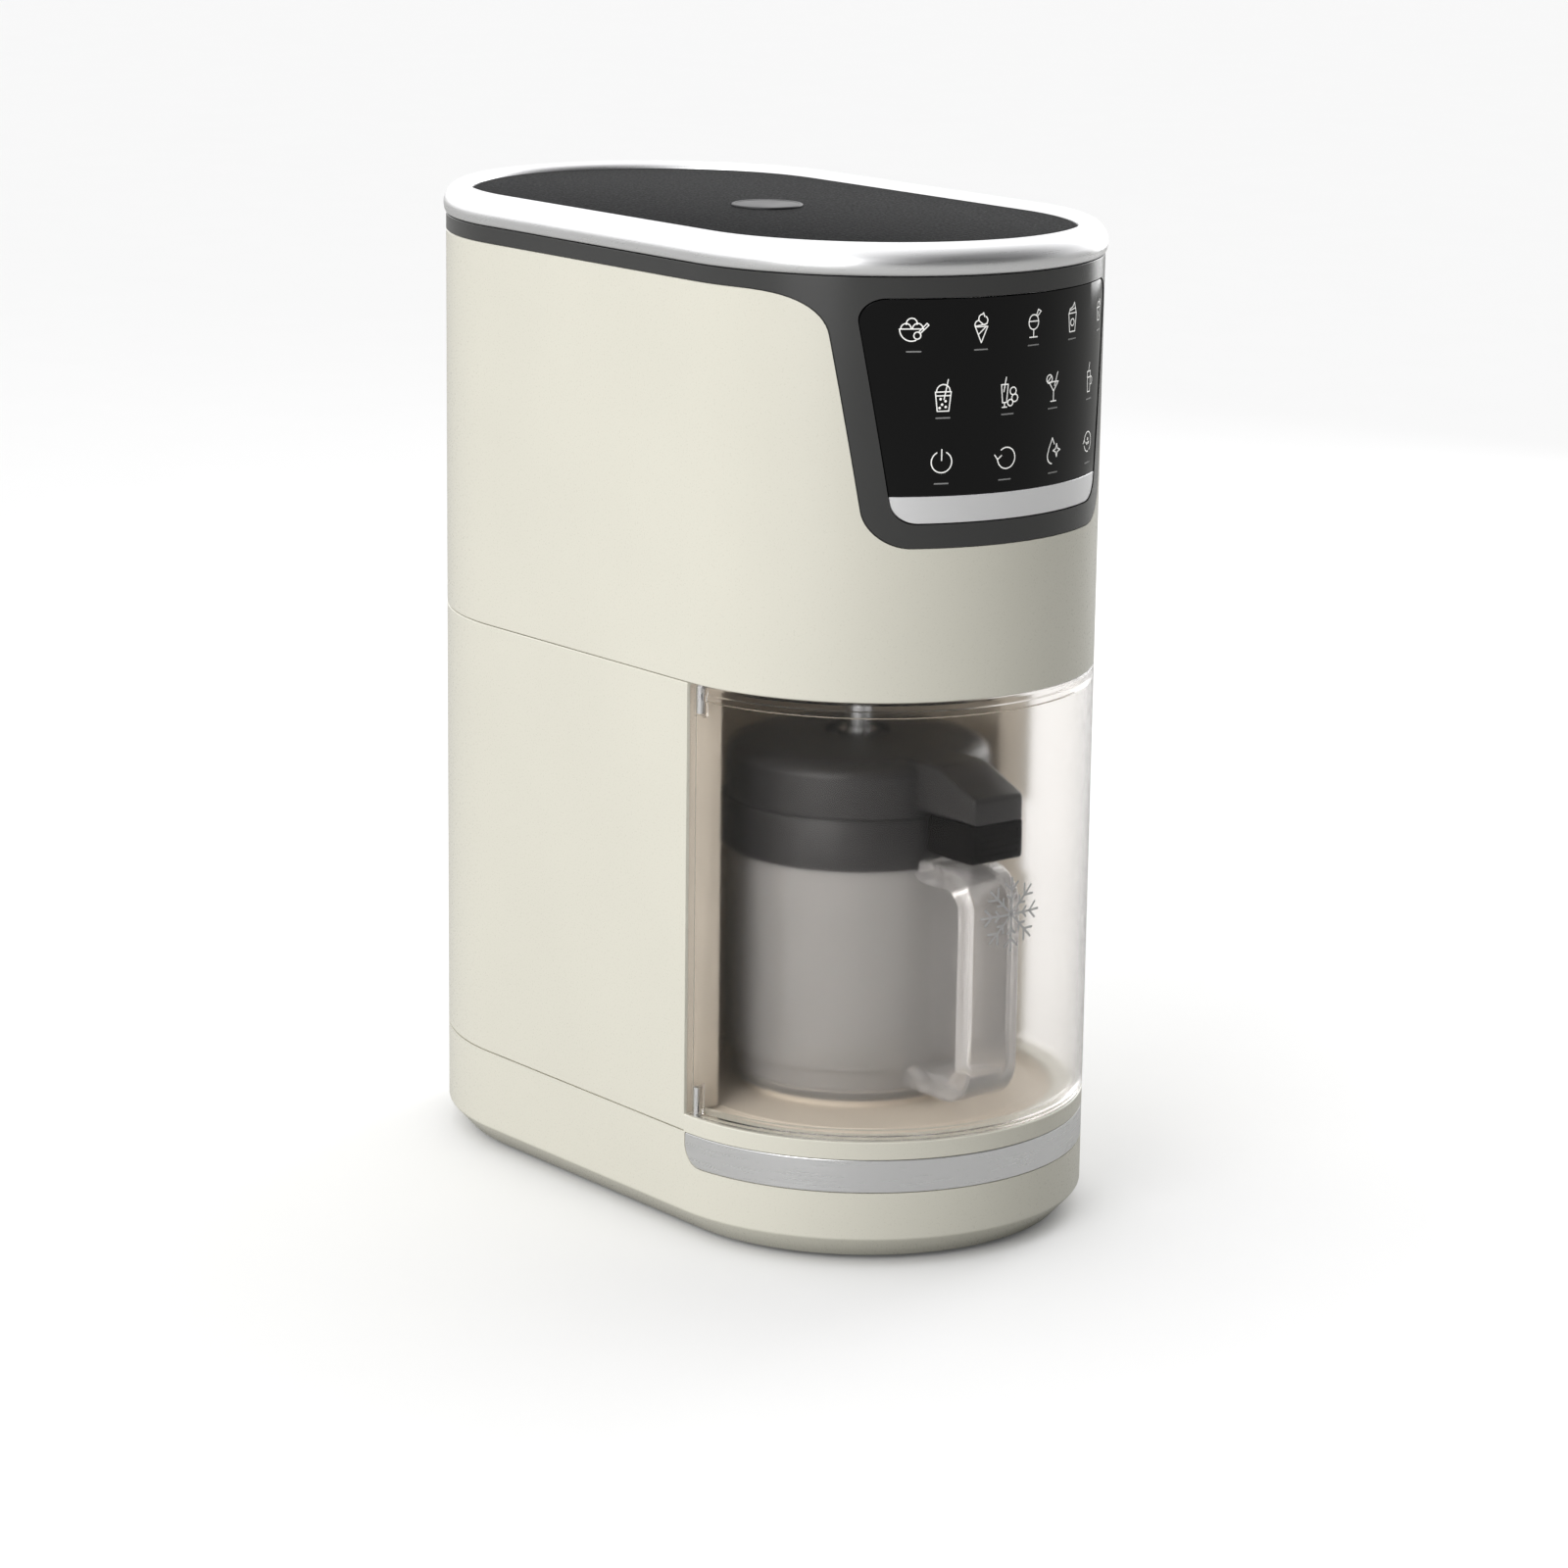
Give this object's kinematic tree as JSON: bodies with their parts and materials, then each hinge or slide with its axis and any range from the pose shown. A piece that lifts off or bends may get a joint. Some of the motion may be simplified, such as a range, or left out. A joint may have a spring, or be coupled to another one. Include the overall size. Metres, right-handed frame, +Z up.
{
  "type": "ice cream maker",
  "caption": "Upright countertop ice cream maker: racetrack-plan body with a touch-panel head over a curved clear door, behind which a lidded, handled bowl is churned by a belt-driven blade.",
  "frame": {"origin": "on the table under the middle of the body", "axes": "+Z up, front at -Y, +X to the right seen from the front"},
  "size_m": [0.175, 0.305, 0.385],
  "materials": {
    "cream_plastic": "satin",
    "silver_trim": "satin",
    "gunmetal_plastic": "satin",
    "gloss_black": "polished",
    "textured_black": "fine leather grain",
    "rubber": "matte",
    "beige_plastic": "satin",
    "smoked_clear": "clear, lightly smoked",
    "smoked_bowl": "clear, smoked",
    "grey_plastic": "matte",
    "dark_plastic": "matte",
    "black_plastic": "matte",
    "white_plastic": "matte",
    "steel": "satin",
    "cast_aluminium": "cast",
    "brass": "satin",
    "copper_core": "varnished winding",
    "circuit_board": "matte"
  },
  "bodies": {
    "body": {"base_housing": "cream_plastic", "base_plate": "dark_plastic", "foot_front_left": "rubber", "foot_front_right": "rubber", "foot_rear_left": "rubber", "foot_rear_right": "rubber", "base_screw_front_left": "steel", "base_screw_front_right": "steel", "base_screw_rear_left": "steel", "base_screw_rear_right": "steel", "base_trim_band": "silver_trim", "chamber_floor": "beige_plastic", "cord_gland": "rubber", "column_shell": "cream_plastic", "chamber_liner": "beige_plastic", "chamber_ceiling": "beige_plastic", "spindle_seal": "rubber", "upper_housing": "cream_plastic", "panel_bezel": "gunmetal_plastic", "touch_panel": "gloss_black", "panel_strip": "silver_trim", "control_board": "circuit_board", "power_board": "circuit_board", "top_ring": "silver_trim", "top_cover": "textured_black", "top_badge": "silver_trim", "door_strike": "steel", "hinge_pin_lower": "steel", "hinge_pin_upper": "steel", "guide_rod_left": "steel", "guide_rod_right": "steel", "lower_frame": "cast_aluminium", "upper_bridge": "cast_aluminium", "feed_motor": "steel"},
    "door": {"door": "smoked_clear", "door_magnet": "steel"},
    "bowl": {"outer_bowl": "smoked_bowl", "inner_pot": "grey_plastic"},
    "lid": {"lid": "dark_plastic", "lid_seal": "rubber"},
    "latch": {"lid_latch": "black_plastic"},
    "carriage": {"carriage_arm": "cast_aluminium", "guide_bush_left": "brass", "guide_bush_right": "brass", "feed_nut": "brass", "motor_can": "steel", "drive_belt": "rubber", "spindle_housing": "cast_aluminium", "spindle_bearing_upper": "steel", "spindle_bearing_lower": "steel"},
    "rotor": {"motor_rotor": "copper_core", "motor_fan": "black_plastic", "motor_pulley": "cast_aluminium"},
    "spindle": {"spindle_pulley": "cast_aluminium", "spindle_shaft": "steel", "blade_hub": "black_plastic", "blade": "steel"},
    "screw": {"lead_screw": "steel", "feed_gear": "white_plastic"},
    "pinion": {"feed_pinion": "white_plastic"}
  },
  "joints": [
    {"name": "door_hinge", "type": "hinge", "parent": "body", "child": "door", "pos_m": [-0.0832, -0.069, 0.133], "axis": [0, 0, 1], "range_deg": [-105, 0]},
    {"name": "bowl_twist", "type": "hinge", "parent": "body", "child": "bowl", "pos_m": [0, -0.06, 0.0513], "axis": [0, 0, 1], "range_deg": [0, 30]},
    {"name": "lid_twist", "type": "hinge", "parent": "bowl", "child": "lid", "pos_m": [0, -0.06, 0.1513], "axis": [0, 0, 1], "range_deg": [0, 20]},
    {"name": "latch_press", "type": "slide", "parent": "lid", "child": "latch", "axis": [0, 1, 0], "range_m": [0, 0.003], "stiffness_N_per_m": 400, "springref_m": -0.003},
    {"name": "feed_slide", "type": "slide", "parent": "body", "child": "carriage", "axis": [0, 0, 1], "range_m": [-0.09, 0]},
    {"name": "rotor_spin", "type": "hinge", "parent": "carriage", "child": "rotor", "pos_m": [0, 0.096, 0.3], "axis": [0, 0, 1], "continuous": true},
    {"name": "spindle_spin", "type": "hinge", "parent": "carriage", "child": "spindle", "pos_m": [0, -0.06, 0.3], "axis": [0, 0, 1], "continuous": true},
    {"name": "screw_turn", "type": "hinge", "parent": "body", "child": "screw", "pos_m": [0, 0.038, 0.2], "axis": [0, 0, 1], "range_deg": [0, 4052]},
    {"name": "pinion_turn", "type": "hinge", "parent": "body", "child": "pinion", "pos_m": [0.0277, 0.038, 0.055], "axis": [0, 0, 1], "range_deg": [-10805, 0]}
  ],
  "couplings": [
    {"joint": "spindle_spin", "follows": "rotor_spin", "ratio": 0.37931},
    {"joint": "screw_turn", "follows": "feed_slide", "rad_per_m": -785.4},
    {"joint": "pinion_turn", "follows": "feed_slide", "rad_per_m": 2094.4}
  ]
}
